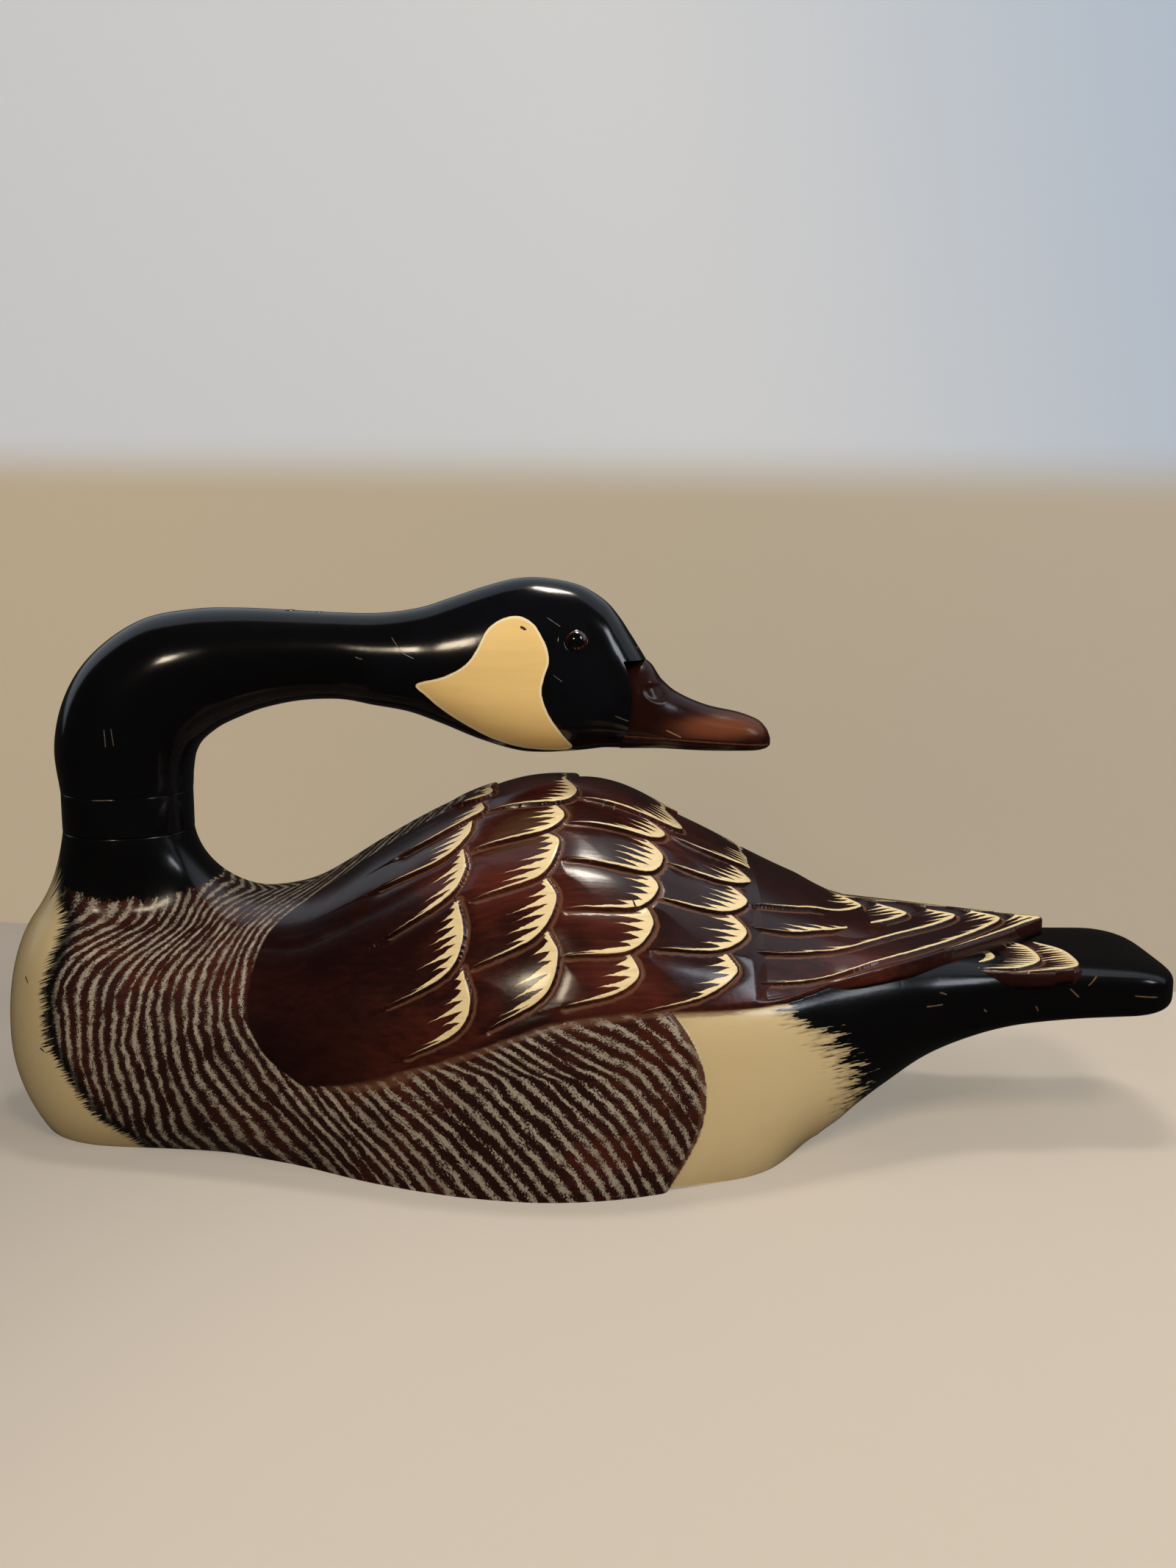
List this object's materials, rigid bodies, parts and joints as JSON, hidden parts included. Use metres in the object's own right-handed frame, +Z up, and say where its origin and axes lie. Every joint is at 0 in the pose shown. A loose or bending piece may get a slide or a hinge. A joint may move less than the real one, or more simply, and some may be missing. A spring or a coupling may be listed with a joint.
{
  "type": "resting goose decoy",
  "caption": "Free-standing carved and painted wooden goose decoy in a resting pose, with a turned-back neck and head that swivels on a peg.",
  "frame": {"origin": "on the base plane, under the middle of the whole bird's box", "axes": "+X from breast to tail, +Z up, +Y to the goose's right side; the goose's left side faces -Y"},
  "size_m": [0.602, 0.2526, 0.2825],
  "materials": {
    "body_paint": "dark red-brown stain with hand-painted cream and grey strokes under gloss varnish",
    "black_paint": "black paint under gloss varnish",
    "wing_stain": "red-brown stain with cream feather edges under gloss varnish",
    "bill_stain": "brown stain under gloss varnish",
    "dowel_wood": "bare turned hardwood",
    "eye_glass": "polished dark brown glass",
    "filler": "wood filler, painted and varnished"
  },
  "bodies": {
    "body": {"lower_body": "body_paint", "middle_body": "body_paint", "upper_body": "body_paint", "lower_dowels": "dowel_wood", "upper_dowels": "dowel_wood", "left_tertials": "wing_stain", "right_tertials": "wing_stain", "left_primaries": "wing_stain", "right_primaries": "wing_stain"},
    "peg": {"neck_peg": "dowel_wood"},
    "head": {"neck_base": "black_paint", "neck": "black_paint", "head": "black_paint", "neck_pins": "dowel_wood", "bill": "bill_stain", "left_eye": "eye_glass", "right_eye": "eye_glass", "left_eye_bed": "filler", "right_eye_bed": "filler"}
  },
  "joints": [
    {"name": "neck_lift", "type": "slide", "parent": "body", "child": "peg", "axis": [0, 0, 1], "range_m": [0, 0.058]},
    {"name": "neck_turn", "type": "hinge", "parent": "peg", "child": "head", "pos_m": [-0.2375, 0, 0.153], "axis": [0, 0, 1], "continuous": true}
  ]
}
